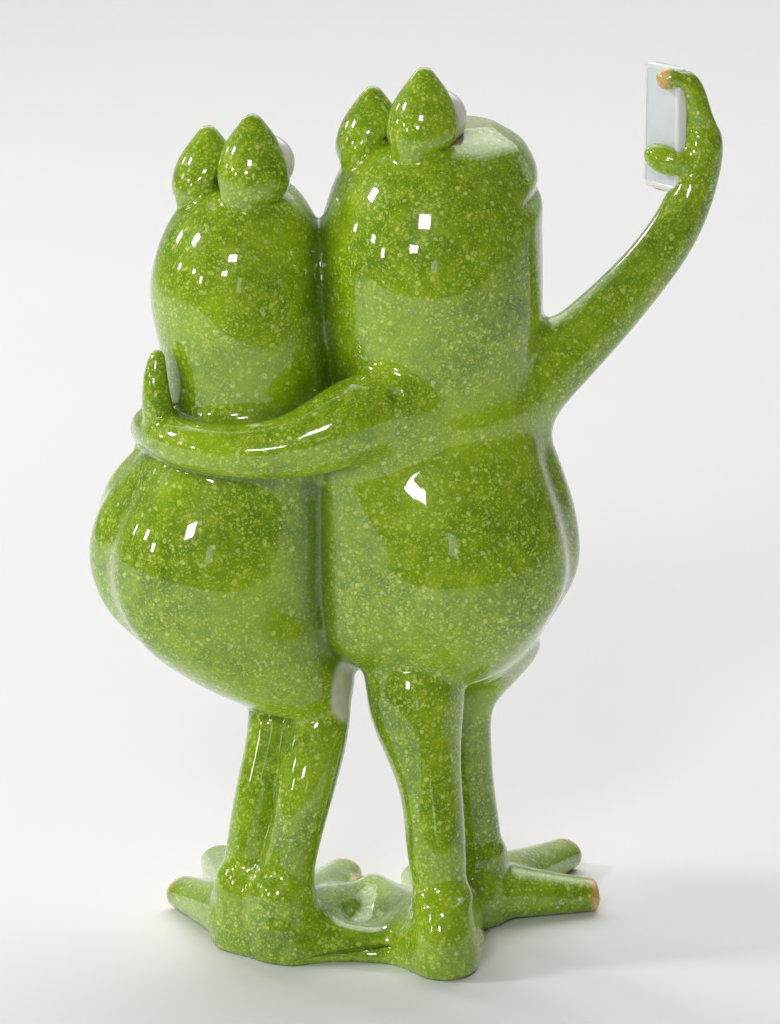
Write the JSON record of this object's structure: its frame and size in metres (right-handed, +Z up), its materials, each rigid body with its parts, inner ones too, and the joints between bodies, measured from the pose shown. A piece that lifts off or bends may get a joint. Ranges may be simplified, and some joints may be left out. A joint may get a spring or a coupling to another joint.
{
  "type": "frog couple figurine",
  "caption": "Glossy green frog couple standing arm in arm, the taller one holding a phone up at arm's length; free-standing cast ornament.",
  "frame": {"origin": "on the shelf plane under the foot pad, midway between the two frogs' feet", "axes": "+X to the pair's own right, +Y the way they face, +Z up"},
  "size_m": [0.1212, 0.0724, 0.1702],
  "materials": {
    "green_glaze": "speckled green under a clear gloss coat, cream belly, gold toe and finger tips",
    "eye_white": "gloss white with a painted black pupil",
    "phone_white": "gloss white with a dark screen",
    "steel_wire": "bare wire, sealed inside"
  },
  "bodies": {
    "root": {"foot_pad": "green_glaze", "phone": "phone_white", "short_frog_head": "green_glaze", "short_frog_left_arm": "green_glaze", "short_frog_left_arm_pin": "steel_wire", "short_frog_left_eyeball": "eye_white", "short_frog_left_eyelid": "green_glaze", "short_frog_left_foot": "green_glaze", "short_frog_left_leg": "green_glaze", "short_frog_left_leg_wire": "steel_wire", "short_frog_neck_pin": "steel_wire", "short_frog_right_arm": "green_glaze", "short_frog_right_arm_pin": "steel_wire", "short_frog_right_eyeball": "eye_white", "short_frog_right_eyelid": "green_glaze", "short_frog_right_foot": "green_glaze", "short_frog_right_leg": "green_glaze", "short_frog_right_leg_wire": "steel_wire", "short_frog_torso": "green_glaze", "tall_frog_head": "green_glaze", "tall_frog_hugging_arm": "green_glaze", "tall_frog_hugging_arm_pin": "steel_wire", "tall_frog_left_eyeball": "eye_white", "tall_frog_left_eyelid": "green_glaze", "tall_frog_left_foot": "green_glaze", "tall_frog_left_leg": "green_glaze", "tall_frog_left_leg_wire": "steel_wire", "tall_frog_neck_pin": "steel_wire", "tall_frog_raised_arm": "green_glaze", "tall_frog_raised_arm_wire": "steel_wire", "tall_frog_right_eyeball": "eye_white", "tall_frog_right_eyelid": "green_glaze", "tall_frog_right_foot": "green_glaze", "tall_frog_right_leg": "green_glaze", "tall_frog_right_leg_wire": "steel_wire", "tall_frog_torso": "green_glaze"}
  },
  "joints": []
}
